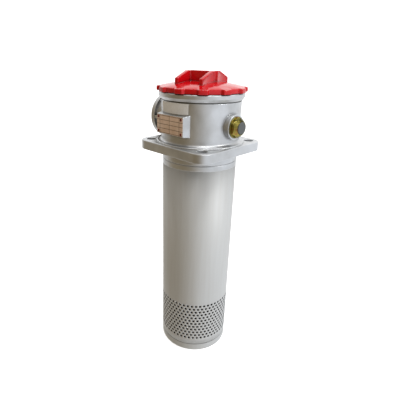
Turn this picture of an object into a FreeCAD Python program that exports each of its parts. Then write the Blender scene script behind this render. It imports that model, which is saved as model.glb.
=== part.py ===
import FreeCAD, Part
import math
import os
import re
import Sketcher

# Tank-top return line filter: a flanged cast head that drops through a hole in
# a tank lid, a long tube below it whose lower end is a perforated diffuser, and
# a red screw cap with an H-shaped grip over the element.
# Origin: centre of the flange's seating face. +Z points up through the cap,
# the nameplate faces -Y, the inlet port -X and the gauge port +X. Millimetres.

SIZES = {
    # The tube's radius drives the head, the cap and the element round it
    "tube_radius": 50.0,
    "tube_wall": 2.5,
    # Barrel of the head, above the flange
    "barrel_step": 1.8,
    "barrel_radius": "=tube_radius + barrel_step",
    "barrel_wall": 7.8,
    "base_ring_step": 6.2,
    "base_ring_radius": "=barrel_radius + base_ring_step",
    "base_ring_height": 1.8,
    "base_ring_edge": 1.4,
    "base_fillet": 3.5,
    "barrel_top": 64.6,
    "rim_step": 3.5,
    "rim_radius": "=barrel_radius + rim_step",
    "rim_groove_depth": 1.3,
    "rim_groove_height": 1.6,
    "rim_slope_height": 3.6,
    "rim_height": 5.2,
    "rim_top": "=barrel_top + rim_groove_height + rim_slope_height + rim_height",
    "rim_edge": 1.2,
    "chamber_radius": "=barrel_radius - barrel_wall",
    "head_thread_step": 3.4,
    "head_thread_radius": "=chamber_radius + head_thread_step",
    "head_thread_depth": 15.0,
    "head_lead_in": 1.2,
    # Flange that is bolted to the tank, round the ring at the barrel's foot
    "flange_margin": 2.0,
    "flange_width": "=2 * (base_ring_radius + flange_margin)",
    "flange_thick": 11.8,
    "flange_corner": 16.0,
    "flange_edge": 1.5,
    "bolt_hole_dia": 13.0,
    "bolt_clearance": 0.554,
    "bolt_spacing": "=sqrt(2) * (base_ring_radius + bolt_clearance + bolt_hole_dia / 2)",
    # Neck and spigot below the flange
    "neck_length": 18.2,
    "neck_groove_drop": 11.3,
    "neck_groove_width": 1.6,
    "neck_groove_depth": 0.8,
    "spigot_length": 14.0,
    "spigot_wall": 6.4,
    "spigot_bore_radius": "=tube_radius - tube_wall - fit_gap - spigot_wall",
    "ledge_height": 6.0,
    # Tube and the holes round its lower end
    "tube_length": 274.8,
    "hole_size": 3.0,
    "hole_rows": 12,
    "holes_around": 26,
    "row_pitch": 5.21,
    "bottom_row_rise": 11.6,
    "hole_phase_deg": -86.0,
    # End cap of the tube
    "end_cap_height": 13.0,
    "end_cap_edge": 3.5,
    "end_cap_floor": 3.0,
    "end_cap_spigot": 7.5,
    "end_cap_groove": 1.0,
    # Seal rings
    "ring_section": 3.0,
    "ring_gap": 0.1,
    "fit_gap": 0.1,
    "running_gap": 0.3,
    # Screw cap
    "cap_gap": 0.4,
    "cap_rim_height": 5.9,
    "cap_overhang": 2.7,
    "cap_lobe_radius": "=rim_radius + cap_overhang",
    "cap_lobe_step": 2.3,
    "cap_lobe_count": 12,
    "cap_lobe_angle": 12.5,
    "cap_lobe_phase": 13.7,
    "cap_dome": 3.2,
    "cap_wall": 4.0,
    "cap_spigot_wall": 4.5,
    "cap_spigot_length": 14.0,
    # Grip on the cap
    "grip_turn": 13.7,
    "grip_height": 18.5,
    "grip_end_height": 10.2,
    "grip_half_length": 34.5,
    "grip_flat_half": 10.5,
    "grip_spread": 17.0,
    "grip_bar_thick": 5.0,
    "grip_web_thick": 11.0,
    "grip_slot_width": 7.0,
    "grip_slot_depth": 2.6,
    # Inlet port on -X
    "inlet_height": 38.1,
    "inlet_stand": 14.2,
    "inlet_reach": "=barrel_radius + inlet_stand",
    "inlet_radius": 30.3,
    "inlet_disc": 6.8,
    "inlet_neck_radius": 27.3,
    "inlet_rib_thick": 4.0,
    "inlet_rib_inset": 0.8,
    "inlet_tap_radius": 20.0,
    "inlet_thread_depth": 16.0,
    "inlet_bore_radius": 17.0,
    "inlet_edge": 1.2,
    # Gauge port on +X
    "gauge_height": 36.6,
    "gauge_stand": 6.2,
    "gauge_reach": "=barrel_radius + gauge_stand",
    "gauge_boss_radius": 15.2,
    "gauge_thread_radius": 9.0,
    "plug_thread_length": 12.0,
    "washer_radius": 13.0,
    "washer_thick": 1.2,
    "plug_flats": 22.4,
    "plug_head": 7.0,
    "plug_land": 2.0,
    "plug_nose_radius": 8.6,
    "plug_bore_gap": 0.1,
    "insert_radius": 7.5,
    "insert_stand": 1.0,
    "insert_depth": 4.0,
    # Nameplate pad on -Y
    "pad_stand": 4.2,
    "pad_reach": "=barrel_radius + pad_stand",
    "pad_width": 46.0,
    "pad_bottom": 25.8,
    "pad_height": 23.7,
    "pad_draft": 8.0,
    "plate_inset": 0.5,
    "plate_thick": 0.6,
    "rivet_inset": 3.2,
    "rivet_head_radius": 1.6,
    "rivet_head_height": 0.8,
    "rivet_pin_radius": 0.8,
    "rivet_pin_length": 5.0,
    # Paper label over the pad
    "label_height": 12.8,
    "label_drop": 0.5,
    "label_bottom": "=barrel_top - label_drop - label_height",
    "label_thick": 0.2,
    "label_glue": 0.05,
    "label_span_deg": 51.0,
    # Filter element
    "element_flange_thick": 5.0,
    "element_flange_gap": 0.3,
    "element_cup_wall": 7.5,
    "element_cup_radius": "=chamber_radius - element_cup_wall",
    "element_opening_step": 3.0,
    "element_opening_radius": "=media_inner_radius - element_opening_step",
    "element_floor_thick": 3.0,
    "element_skirt": 14.0,
    "element_bar_width": 7.0,
    "element_bar_rise": 14.0,
    "element_bar_thick": 3.0,
    "media_gap": 4.0,
    "media_outer_radius": "=spigot_bore_radius - media_gap",
    "pleat_depth": 12.0,
    "media_inner_radius": "=media_outer_radius - pleat_depth",
    "media_thick": 0.6,
    "media_length": 190.0,
    "pleat_count": 44,
    "sleeve_wall": 0.8,
    "sleeve_gap": 0.4,
    "sleeve_rows": 6,
    "sleeve_slots": 10,
    "sleeve_slot_height": 20.0,
    "sleeve_slot_width": 12.0,
    "sleeve_slot_pitch": 29.0,
    "element_cap_thick": 2.0,
    "element_cap_lip": 6.0,
    # Bypass valve in the foot of the element
    "seat_radius": 13.0,
    "poppet_overlap": 3.0,
    "poppet_radius": "=seat_radius + poppet_overlap",
    "poppet_thick": 2.5,
    "poppet_travel": 7.0,
    "stem_radius": 3.0,
    "stem_length": 30.0,
    "cage_gap": 4.0,
    "cage_radius": "=poppet_radius + cage_gap",
    "cage_wall": 2.0,
    "cage_length": 26.0,
    "cage_windows": 3,
    "cage_window_deg": 80.0,
    "bypass_wire": 1.6,
    "bypass_coil_inset": 6.0,
    "bypass_coil_radius": "=poppet_radius - bypass_coil_inset",
    "bypass_turns": 5.0,
    # Spring between the screw cap and the element
    "hold_wire": 3.0,
    "hold_coil_inset": 4.5,
    "hold_coil_radius": "=element_cup_radius - hold_coil_inset",
    "hold_turns": 4.0,
    # Rings of wire to a turn that each spring is lofted through
    "coil_steps": 24,
}

doc = FreeCAD.newDocument("return_line_filter")
sheet = doc.addObject("Spreadsheet::Sheet", "Sizes")
for row, alias in enumerate(SIZES, start=1):
    sheet.set("A%d" % row, alias)
    sheet.setAlias("B%d" % row, alias)
for row, number in enumerate(SIZES.values(), start=1):
    sheet.set("B%d" % row, str(number))
doc.recompute()

WORD = re.compile(r"[a-z][a-z_]*")
TURN = 360.0


def size(alias):
    """A size of the sheet as a number."""
    return float(sheet.get(alias))


def bound(text):
    """The same sum with its size names pointed at the sheet."""
    def point_at_sheet(found):
        word = found.group(0)
        return "Sizes." + word if word in SIZES else word
    return WORD.sub(point_at_sheet, text)


def value(text):
    """What a sum of sizes comes to."""
    return float(sheet.evalExpression(text))


# Heights that several pieces share, as sums of the driving sizes
TUBE_TOP = "(-neck_length)"
TUBE_INNER = "(tube_radius - tube_wall)"
TUBE_FOOT = "(-neck_length - tube_length)"
SPIGOT = "(tube_radius - tube_wall - fit_gap)"
SPIGOT_FOOT = "(-neck_length - spigot_length)"
CAP_UNDER = "(rim_top + cap_gap)"
CAP_TOP = "(rim_top + cap_gap + cap_rim_height)"
CAP_FACE = "(rim_top + cap_gap + cap_rim_height + cap_dome)"
CAP_SPIGOT = "(head_thread_radius - running_gap)"
CAP_SEAL_LOW = "(rim_top - head_lead_in - ring_section - 3 * ring_gap)"
CAP_FOOT = "(rim_top + cap_gap - cap_spigot_length)"
CAP_CEILING = "(rim_top + cap_gap + cap_rim_height + cap_dome - cap_wall)"
ELEMENT_TOP = "(ledge_height + element_flange_thick)"
SKIRT_RADIUS = "(spigot_bore_radius - fit_gap)"
MEDIA_TOP = "(ledge_height - element_skirt)"
MEDIA_FOOT = "(ledge_height - element_skirt - media_length)"
CAP_PLATE_FOOT = "(ledge_height - element_skirt - media_length - element_cap_thick)"
SLEEVE_INNER = "(media_outer_radius + sleeve_gap)"
SLEEVE_OUTER = "(media_outer_radius + sleeve_gap + sleeve_wall)"
POPPET_FOOT = "(ledge_height - element_skirt - media_length - element_cap_thick - poppet_thick)"
CAGE_FOOT = "(ledge_height - element_skirt - media_length - element_cap_thick - cage_length)"


def new_body(label):
    body = doc.addObject("PartDesign::Body", label)
    body.Label = label
    return body


def origin_plane(body, role):
    for feature in body.Origin.OriginFeatures:
        if feature.Role == role:
            return feature
    raise ValueError(role)


def new_sketch(body, name, role, offset="0"):
    sketch = body.newObject("Sketcher::SketchObject", name)
    sketch.AttachmentSupport = (origin_plane(body, role), [""])
    sketch.MapMode = "FlatFace"
    if offset != "0":
        sketch.setExpression("AttachmentOffset.Base.z", bound(offset))
    doc.recompute()
    return sketch


def fix_number(sketch, kind, geometry, point, text):
    """Hold one coordinate of a point at a sum of sizes."""
    number = value(text)
    axis = -2 if kind == "DistanceX" else -1
    if abs(number) < 1e-9:
        sketch.addConstraint(Sketcher.Constraint("PointOnObject", geometry, point, axis))
    elif number > 0:
        index = sketch.addConstraint(Sketcher.Constraint(kind, -1, 1, geometry, point, number))
        sketch.setExpression("Constraints[%d]" % index, bound(text))
    else:
        index = sketch.addConstraint(Sketcher.Constraint(kind, geometry, point, -1, 1, -number))
        sketch.setExpression("Constraints[%d]" % index, bound("-(%s)" % text))


def outline(sketch, points):
    """A closed outline of straight lines through points given as sums."""
    spots = [FreeCAD.Vector(value(across), value(up), 0) for across, up in points]
    first = sketch.GeometryCount
    count = len(spots)
    for index, spot in enumerate(spots):
        sketch.addGeometry(Part.LineSegment(spot, spots[(index + 1) % count]), False)
    for index in range(count):
        after = first + (index + 1) % count
        sketch.addConstraint(Sketcher.Constraint("Coincident", first + index, 2, after, 1))
    for index, (across, up) in enumerate(points):
        fix_number(sketch, "DistanceX", first + index, 1, across)
        fix_number(sketch, "DistanceY", first + index, 1, up)
    return sketch


def circle(sketch, across, up, radius):
    spot = FreeCAD.Vector(value(across), value(up), 0)
    index = sketch.addGeometry(Part.Circle(spot, FreeCAD.Vector(0, 0, 1), value(radius)), False)
    fix_number(sketch, "DistanceX", index, 3, across)
    fix_number(sketch, "DistanceY", index, 3, up)
    ring = sketch.addConstraint(Sketcher.Constraint("Radius", index, value(radius)))
    sketch.setExpression("Constraints[%d]" % ring, bound(radius))
    return sketch


def rectangle(sketch, left, right, low, high):
    return outline(sketch, [(left, low), (right, low), (right, high), (left, high)])


def turned(body, name, points, cut=False):
    """A turned form: an outline of (radius, height) spun about the Z axis."""
    sketch = outline(new_sketch(body, name + "_outline", "XZ_Plane"), points)
    kind = "PartDesign::Groove" if cut else "PartDesign::Revolution"
    feature = body.newObject(kind, name)
    feature.Profile = sketch
    feature.ReferenceAxis = (sketch, ["V_Axis"])
    feature.Angle = TURN
    doc.recompute()
    return feature


def padded(body, name, sketch, length, reverse=False, draft=None):
    feature = body.newObject("PartDesign::Pad", name)
    feature.Profile = sketch
    feature.Reversed = reverse
    feature.setExpression("Length", bound(length))
    if draft:
        feature.setExpression("TaperAngle", bound(draft))
    doc.recompute()
    return feature


def pocketed(body, name, sketch, length, reverse=False):
    """A pocket, with a test that it takes material away."""
    before = body.Shape.Volume
    feature = body.newObject("PartDesign::Pocket", name)
    feature.Profile = sketch
    feature.Reversed = reverse
    feature.setExpression("Length", bound(length))
    doc.recompute()
    if feature.Shape.Volume > before - 1e-3:
        raise RuntimeError(name + " cuts nothing")
    return feature


def spread(body, name, original, count):
    """Copies of a feature, evenly round the Z axis."""
    feature = body.newObject("PartDesign::PolarPattern", name)
    feature.Originals = [original]
    feature.Axis = (origin_plane(body, "Z_Axis"), [""])
    feature.Angle = TURN
    feature.setExpression("Occurrences", bound(count))
    body.Tip = feature
    doc.recompute()
    return feature


def rounded(body, name, pick, radius, kind="PartDesign::Fillet"):
    """A fillet or chamfer on the edges of the body that pick chooses."""
    base = body.Tip
    edges = ["Edge%d" % (number + 1) for number, edge in enumerate(base.Shape.Edges) if pick(edge)]
    if not edges:
        raise RuntimeError(name + " finds no edge")
    feature = body.newObject(kind, name)
    feature.Base = (base, edges)
    feature.setExpression("Radius" if kind.endswith("Fillet") else "Size", bound(radius))
    doc.recompute()
    return feature


def is_ring(edge, radius, height, near=0.02):
    """True for a whole or part circle about the Z axis."""
    curve = edge.Curve
    if not isinstance(curve, Part.Circle):
        return False
    centre = curve.Center
    on_axis = math.hypot(centre.x, centre.y) < near
    return on_axis and abs(curve.Radius - radius) < near and abs(centre.z - height) < near


def finished(label, shape):
    """A solid made with Part's own functions, as one object of the document."""
    feature = doc.addObject("Part::Feature", label)
    feature.Label = label
    feature.Shape = shape
    feature.Placement = shape.Placement
    return feature


def make_filter_head():
    """One casting: flange, barrel, rim, neck, inlet, gauge boss and nameplate pad."""
    body = new_body("filter_head")

    half = "flange_width / 2"
    flange = new_sketch(body, "flange_outline", "XY_Plane")
    rectangle(flange, "-" + half, half, "-" + half, half)
    padded(body, "flange", flange, "flange_thick")
    reach = size("flange_width") / 2

    def is_corner(edge):
        middle = edge.CenterOfMass
        upright = abs(edge.tangentAt(edge.FirstParameter).z) > 0.99
        return upright and abs(abs(middle.x) - reach) < 0.01 and abs(abs(middle.y) - reach) < 0.01
    rounded(body, "flange_corners", is_corner, "flange_corner")
    top = size("flange_thick")
    rounded(body, "flange_top_edge", lambda edge: abs(edge.CenterOfMass.z - top) < 0.01, "flange_edge")
    bolts = new_sketch(body, "bolt_hole_outline", "XY_Plane")
    circle(bolts, "bolt_spacing / 2", "bolt_spacing / 2", "bolt_hole_dia / 2")
    hole = pocketed(body, "bolt_hole", bolts, "flange_thick", reverse=True)
    spread(body, "bolt_holes", hole, "4")

    ring_top = "flange_thick + base_ring_height"
    groove_low = "-neck_groove_drop - neck_groove_width / 2"
    groove_high = "-neck_groove_drop + neck_groove_width / 2"
    slope_foot = "barrel_top + rim_groove_height"
    turned(body, "barrel", [
        ("0", SPIGOT_FOOT),
        (SPIGOT, SPIGOT_FOOT),
        (SPIGOT, TUBE_TOP),
        ("tube_radius", TUBE_TOP),
        ("tube_radius", groove_low),
        ("tube_radius - neck_groove_depth", "-neck_groove_drop"),
        ("tube_radius", groove_high),
        ("tube_radius", "flange_thick / 2"),
        ("base_ring_radius", "flange_thick / 2"),
        ("base_ring_radius", ring_top),
        ("barrel_radius", ring_top),
        ("barrel_radius", "barrel_top"),
        ("barrel_radius - rim_groove_depth", "barrel_top"),
        ("barrel_radius - rim_groove_depth", slope_foot),
        ("barrel_radius + 1", slope_foot),
        ("rim_radius", "barrel_top + rim_groove_height + rim_slope_height"),
        ("rim_radius", "rim_top"),
        ("0", "rim_top"),
    ])
    barrel = size("barrel_radius")
    ring_z = value(ring_top)
    rounded(body, "barrel_foot", lambda edge: is_ring(edge, barrel, ring_z), "base_fillet")
    ring = size("base_ring_radius")
    rounded(body, "base_ring_edge", lambda edge: is_ring(edge, ring, ring_z), "base_ring_edge")
    rim, rim_z = size("rim_radius"), size("rim_top")
    rounded(body, "rim_edge_round", lambda edge: is_ring(edge, rim, rim_z), "rim_edge")

    neck = new_sketch(body, "inlet_neck_outline", "YZ_Plane", "-inlet_reach + inlet_disc")
    circle(neck, "0", "inlet_height", "inlet_neck_radius")
    padded(body, "inlet_neck", neck, "inlet_reach - inlet_disc - chamber_radius / 2")
    disc = new_sketch(body, "inlet_disc_outline", "YZ_Plane", "-inlet_reach")
    circle(disc, "0", "inlet_height", "inlet_radius")
    padded(body, "inlet_disc", disc, "inlet_disc")
    rib = new_sketch(body, "inlet_rib_outline", "YZ_Plane", "-inlet_reach + inlet_disc")
    rib_half = "inlet_radius - inlet_rib_inset"
    rib_low, rib_high = "inlet_height - inlet_rib_thick / 2", "inlet_height + inlet_rib_thick / 2"
    rectangle(rib, "-(%s)" % rib_half, rib_half, rib_low, rib_high)
    padded(body, "inlet_rib", rib, "inlet_reach - inlet_disc - chamber_radius / 2")
    face = -size("inlet_reach")
    wide = size("inlet_radius")

    def is_inlet_edge(edge):
        round_edge = isinstance(edge.Curve, Part.Circle) and abs(edge.Curve.Radius - wide) < 0.01
        return round_edge and abs(edge.CenterOfMass.x - face) < 0.01
    rounded(body, "inlet_face_edge", is_inlet_edge, "inlet_edge")

    boss = new_sketch(body, "gauge_boss_outline", "YZ_Plane", "gauge_reach")
    circle(boss, "0", "gauge_height", "gauge_boss_radius")
    padded(body, "gauge_boss", boss, "gauge_reach - chamber_radius - 1", reverse=True)

    pad = new_sketch(body, "plate_pad_outline", "XZ_Plane", "pad_reach")
    rectangle(pad, "-pad_width / 2", "pad_width / 2", "pad_bottom", "pad_bottom + pad_height")
    padded(body, "plate_pad", pad, "pad_reach - chamber_radius - 1", reverse=True, draft="pad_draft")

    thread_foot = "rim_top - head_thread_depth"
    turned(body, "chamber", [
        ("0", SPIGOT_FOOT + " - 1"),
        ("spigot_bore_radius", SPIGOT_FOOT + " - 1"),
        ("spigot_bore_radius", "ledge_height"),
        ("chamber_radius", "ledge_height"),
        ("chamber_radius", thread_foot),
        ("head_thread_radius", thread_foot),
        ("head_thread_radius", "rim_top - head_lead_in"),
        ("head_thread_radius + head_lead_in", "rim_top"),
        ("head_thread_radius + head_lead_in", "rim_top + 1"),
        ("0", "rim_top + 1"),
    ], cut=True)
    groove_mid = "-neck_length - spigot_length / 2"
    turned(body, "tube_seal_groove", [
        ("tube_radius - tube_wall - ring_section - ring_gap", groove_mid + " - ring_section / 2 - ring_gap"),
        ("tube_radius", groove_mid + " - ring_section / 2 - ring_gap"),
        ("tube_radius", groove_mid + " + ring_section / 2 + ring_gap"),
        ("tube_radius - tube_wall - ring_section - ring_gap", groove_mid + " + ring_section / 2 + ring_gap"),
    ], cut=True)

    tap = new_sketch(body, "inlet_thread_outline", "YZ_Plane", "-inlet_reach")
    circle(tap, "0", "inlet_height", "inlet_tap_radius")
    pocketed(body, "inlet_thread", tap, "inlet_thread_depth", reverse=True)
    bore = new_sketch(body, "inlet_bore_outline", "YZ_Plane", "-inlet_reach")
    circle(bore, "0", "inlet_height", "inlet_bore_radius")
    pocketed(body, "inlet_bore", bore, "inlet_reach - chamber_radius / 2", reverse=True)
    gauge = new_sketch(body, "gauge_thread_outline", "YZ_Plane", "gauge_reach")
    circle(gauge, "0", "gauge_height", "gauge_thread_radius + ring_gap")
    pocketed(body, "gauge_thread", gauge, "gauge_reach - chamber_radius / 2")

    rivets = new_sketch(body, "rivet_holes_outline", "XZ_Plane", "pad_reach")
    for across, up in rivet_spots():
        circle(rivets, across, up, "rivet_pin_radius")
    pocketed(body, "rivet_holes", rivets, "rivet_pin_length")
    return body


def rivet_spots():
    """Where the four nameplate rivets stand on the pad, as sums of sizes."""
    left, right = "rivet_inset - pad_width / 2", "pad_width / 2 - rivet_inset"
    low, high = "pad_bottom + rivet_inset", "pad_bottom + pad_height - rivet_inset"
    return [(left, low), (left, high), (right, low), (right, high)]


def make_tube():
    """The long tube with staggered rows of square holes round its lower end."""
    blank = new_body("tube_blank")
    turned(blank, "tube_wall", [
        (TUBE_INNER, TUBE_FOOT),
        ("tube_radius", TUBE_FOOT),
        ("tube_radius", TUBE_TOP),
        (TUBE_INNER, TUBE_TOP),
    ])
    around = int(size("holes_around"))
    low_row = value(TUBE_FOOT + " + bottom_row_rise")
    punches = []
    for row in range(int(size("hole_rows"))):
        for place in range(around):
            angle = size("hole_phase_deg") + TURN / around * (place + 0.5 * (row % 2))
            punches.append(punch(angle, low_row + row * size("row_pitch")))
    tube = doc.addObject("Part::Cut", "immersion_tube")
    tube.Label = "immersion_tube"
    tube.Base = blank
    tube.Tool = finished("diffuser_punches", Part.makeCompound(punches))
    doc.recompute()
    return tube


def punch(angle, height):
    """One square punch through the tube's wall, at an angle and a height."""
    wide = size("hole_size")
    block = Part.makeBox(size("tube_wall") + 2, wide, wide)
    block.translate(FreeCAD.Vector(value(TUBE_INNER) - 1, -wide / 2, height - wide / 2))
    block.rotate(FreeCAD.Vector(), FreeCAD.Vector(0, 0, 1), angle)
    return block


def make_end_cap():
    """The pressed cap that closes the foot of the tube."""
    body = new_body("tube_end_cap")
    spigot = "tube_radius - tube_wall - fit_gap"
    turned(body, "end_cap", [
        ("0", TUBE_FOOT + " - end_cap_height"),
        ("tube_radius", TUBE_FOOT + " - end_cap_height"),
        ("tube_radius", TUBE_FOOT + " - end_cap_groove"),
        ("tube_radius - end_cap_groove", TUBE_FOOT + " - end_cap_groove"),
        ("tube_radius - end_cap_groove", TUBE_FOOT),
        (spigot, TUBE_FOOT),
        (spigot, TUBE_FOOT + " + end_cap_spigot"),
        (spigot + " - tube_wall", TUBE_FOOT + " + end_cap_spigot"),
        (spigot + " - tube_wall", TUBE_FOOT + " - end_cap_height + end_cap_floor + end_cap_edge"),
        (spigot + " - tube_wall - end_cap_edge", TUBE_FOOT + " - end_cap_height + end_cap_floor"),
        ("0", TUBE_FOOT + " - end_cap_height + end_cap_floor"),
    ])
    radius = size("tube_radius")
    foot = value(TUBE_FOOT + " - end_cap_height")
    rounded(body, "end_cap_edge_round", lambda edge: is_ring(edge, radius, foot), "end_cap_edge")
    return body


def make_ring(label, ring_radius, section, height):
    """An O-ring: ring_radius to the middle of its section."""
    ring = doc.addObject("Part::Torus", label)
    ring.Label = label
    ring.setExpression("Radius1", bound(ring_radius))
    ring.setExpression("Radius2", bound(section))
    ring.setExpression("Placement.Base.z", bound(height))
    return ring


def make_screw_cap():
    """The moulded cap: lobed rim, domed top, hollow threaded spigot and H grip."""
    body = new_body("screw_cap")
    root = "cap_lobe_radius - cap_lobe_step"
    turned(body, "cap_shell", [
        ("0", CAP_CEILING),
        (CAP_SPIGOT + " - cap_spigot_wall", CAP_CEILING),
        (CAP_SPIGOT + " - cap_spigot_wall", CAP_FOOT),
        (CAP_SPIGOT, CAP_FOOT),
        (CAP_SPIGOT, CAP_SEAL_LOW),
        (CAP_SPIGOT + " - ring_section", CAP_SEAL_LOW),
        (CAP_SPIGOT + " - ring_section", CAP_SEAL_LOW + " + ring_section + 2 * ring_gap"),
        (CAP_SPIGOT, CAP_SEAL_LOW + " + ring_section + 2 * ring_gap"),
        (CAP_SPIGOT, CAP_UNDER),
        (root, CAP_UNDER),
        (root, CAP_TOP),
        ("grip_half_length + grip_bar_thick", CAP_FACE),
        ("0", CAP_FACE),
    ])
    lobe = new_sketch(body, "lobe_outline", "XY_Plane", CAP_UNDER)
    half_root = "cap_lobe_radius * sin(cap_lobe_angle / 2) + cap_lobe_step / 4"
    half_tip = "cap_lobe_radius * sin(cap_lobe_angle / 2)"
    outline(lobe, [
        ("-(%s)" % half_root, CAP_SPIGOT),
        (half_root, CAP_SPIGOT),
        (half_root, root + " - 0.5"),
        (half_tip, "cap_lobe_radius * cos(cap_lobe_angle / 2)"),
        ("0", "cap_lobe_radius"),
        ("-(%s)" % half_tip, "cap_lobe_radius * cos(cap_lobe_angle / 2)"),
        ("-(%s)" % half_root, root + " - 0.5"),
    ])
    lobe.setExpression("AttachmentOffset.Rotation.Angle", bound("cap_lobe_phase"))
    first = padded(body, "lobe", lobe, "cap_rim_height")
    spread(body, "lobes", first, "cap_lobe_count")
    add_grip(body)
    return body


def add_grip(body):
    """The H grip: a block with sloped ends, cored to two bars and a cross web."""
    half_wide = "grip_spread + grip_bar_thick / 2"
    side = new_sketch(body, "grip_side", "YZ_Plane")
    side.AttachmentOffset = FreeCAD.Placement(FreeCAD.Vector(), FreeCAD.Rotation(FreeCAD.Vector(0, 1, 0), 1))
    side.setExpression("AttachmentOffset.Rotation.Angle", bound("grip_turn"))
    root = CAP_FACE + " - cap_dome"
    outline(side, [
        ("-grip_half_length", root),
        ("grip_half_length", root),
        ("grip_half_length", CAP_TOP + " + grip_end_height"),
        ("grip_flat_half", CAP_TOP + " + grip_height"),
        ("-grip_flat_half", CAP_TOP + " + grip_height"),
        ("-grip_half_length", CAP_TOP + " + grip_end_height"),
    ])
    block = body.newObject("PartDesign::Pad", "grip_block")
    block.Profile = side
    block.Midplane = True
    block.setExpression("Length", bound("2 * (%s)" % half_wide))
    doc.recompute()
    cores = new_sketch(body, "grip_cores", "XY_Plane", CAP_TOP + " + grip_height")
    cores.AttachmentOffset = FreeCAD.Placement(FreeCAD.Vector(), FreeCAD.Rotation(FreeCAD.Vector(0, 0, 1), 1))
    cores.setExpression("AttachmentOffset.Base.z", bound(CAP_TOP + " + grip_height"))
    cores.setExpression("AttachmentOffset.Rotation.Angle", bound("grip_turn"))
    inner = "grip_spread - grip_bar_thick / 2"
    for sign in ("", "-"):
        near = "%s(grip_web_thick / 2)" % sign
        far = "%s(grip_half_length + 1)" % sign
        rectangle(cores, "-(%s)" % inner, inner, near, far)
    pocketed(body, "grip_cored", cores, "grip_height - cap_dome")
    slots = new_sketch(body, "grip_slots", "XY_Plane")
    slots.AttachmentOffset = FreeCAD.Placement(FreeCAD.Vector(), FreeCAD.Rotation(FreeCAD.Vector(0, 0, 1), 1))
    slots.setExpression("AttachmentOffset.Base.z", bound(CAP_TOP + " + grip_height"))
    slots.setExpression("AttachmentOffset.Rotation.Angle", bound("grip_turn"))
    middle = half_wide + " + grip_slot_width / 2 - grip_slot_depth"
    circle(slots, middle, "0", "grip_slot_width / 2")
    circle(slots, "-(%s)" % middle, "0", "grip_slot_width / 2")
    pocketed(body, "grip_slotted", slots, "grip_height - cap_dome")


def make_gauge_plug():
    """The plated hexagon plug of the gauge port, bored for its grey cap."""
    body = new_body("gauge_plug")
    corner = "plug_flats / sqrt(3)"
    head = new_sketch(body, "plug_head_outline", "XY_Plane", "washer_thick")
    outline(head, [
        (corner, "0"),
        ("plug_flats / (2 * sqrt(3))", "plug_flats / 2"),
        ("-plug_flats / (2 * sqrt(3))", "plug_flats / 2"),
        ("-(%s)" % corner, "0"),
        ("-plug_flats / (2 * sqrt(3))", "-plug_flats / 2"),
        ("plug_flats / (2 * sqrt(3))", "-plug_flats / 2"),
    ])
    padded(body, "plug_head", head, "plug_head")
    shank = new_sketch(body, "plug_shank_outline", "XY_Plane", "washer_thick")
    circle(shank, "0", "0", "gauge_thread_radius")
    padded(body, "plug_shank", shank, "washer_thick + plug_thread_length", reverse=True)
    top = "washer_thick + plug_head"
    turned(body, "plug_nose", [
        ("plug_nose_radius", top),
        ("plug_flats", top),
        ("plug_flats", "washer_thick + plug_land"),
        (corner, "washer_thick + plug_land"),
    ], cut=True)
    seat = new_sketch(body, "insert_seat_outline", "XY_Plane", top)
    circle(seat, "0", "0", "insert_radius + plug_bore_gap")
    pocketed(body, "insert_seat", seat, "insert_depth")
    place_at_gauge(body)
    return body


def make_gauge_washer():
    body = new_body("gauge_plug_washer")
    turned(body, "washer", [
        ("gauge_thread_radius + ring_gap", "0"),
        ("washer_radius", "0"),
        ("washer_radius", "washer_thick"),
        ("gauge_thread_radius + ring_gap", "washer_thick"),
    ])
    place_at_gauge(body)
    return body


def make_gauge_insert():
    """The dark grey cap that is pressed into the plug."""
    body = new_body("gauge_plug_cap")
    foot = "washer_thick + plug_head - insert_depth"
    top = "washer_thick + plug_head + insert_stand"
    turned(body, "insert", [
        ("0", foot),
        ("insert_radius", foot),
        ("insert_radius", top + " - insert_stand / 2"),
        ("insert_radius - insert_stand / 2", top),
        ("0", top),
    ])
    place_at_gauge(body)
    return body


def place_at_gauge(body):
    """Lay a piece made along +Z into the gauge port, along +X."""
    body.Placement = FreeCAD.Placement(FreeCAD.Vector(), FreeCAD.Rotation(FreeCAD.Vector(0, 1, 0), 90))
    body.setExpression("Placement.Base.x", bound("gauge_reach"))
    body.setExpression("Placement.Base.z", bound("gauge_height"))


def make_nameplate():
    """The thin plate on the pad, bored for its rivets."""
    body = new_body("nameplate")
    plate = new_sketch(body, "plate_outline", "XZ_Plane", "pad_reach")
    right = "pad_width / 2 - plate_inset"
    low, high = "pad_bottom + plate_inset", "pad_bottom + pad_height - plate_inset"
    rectangle(plate, "-(%s)" % right, right, low, high)
    for across, up in rivet_spots():
        circle(plate, across, up, "rivet_pin_radius")
    padded(body, "plate", plate, "plate_thick")
    return body


def make_rivets():
    """Four hammer-drive rivets, one in each corner of the nameplate."""
    reach = -size("pad_reach") - size("plate_thick")
    face = FreeCAD.Vector(0, -1, 0)
    rivets = []
    for across, up in rivet_spots():
        spot = FreeCAD.Vector(value(across), reach, value(up))
        pin_length = size("rivet_pin_length") + size("plate_thick") - size("ring_gap")
        pin = Part.makeCylinder(size("rivet_pin_radius"), pin_length, spot, FreeCAD.Vector(0, 1, 0))
        crown = size("rivet_head_height")
        head = Part.makeCone(size("rivet_head_radius"), size("rivet_head_radius") / 2, crown, spot, face)
        rivets.append(pin.fuse(head).removeSplitter())
    return finished("nameplate_rivets", Part.makeCompound(rivets))


def make_label():
    """A paper label wrapped on the barrel over the nameplate."""
    inner = size("barrel_radius") + size("label_glue")
    outer = inner + size("label_thick")
    low = FreeCAD.Vector(0, 0, size("label_bottom"))
    up = FreeCAD.Vector(0, 0, 1)
    span = size("label_span_deg")
    sheet_of_paper = Part.makeCylinder(outer, size("label_height"), low, up, span)
    core = Part.makeCylinder(inner, size("label_height"), low, up, span)
    shape = sheet_of_paper.cut(core)
    shape.rotate(FreeCAD.Vector(), up, -90 - span / 2)
    return finished("paper_label", shape)


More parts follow.
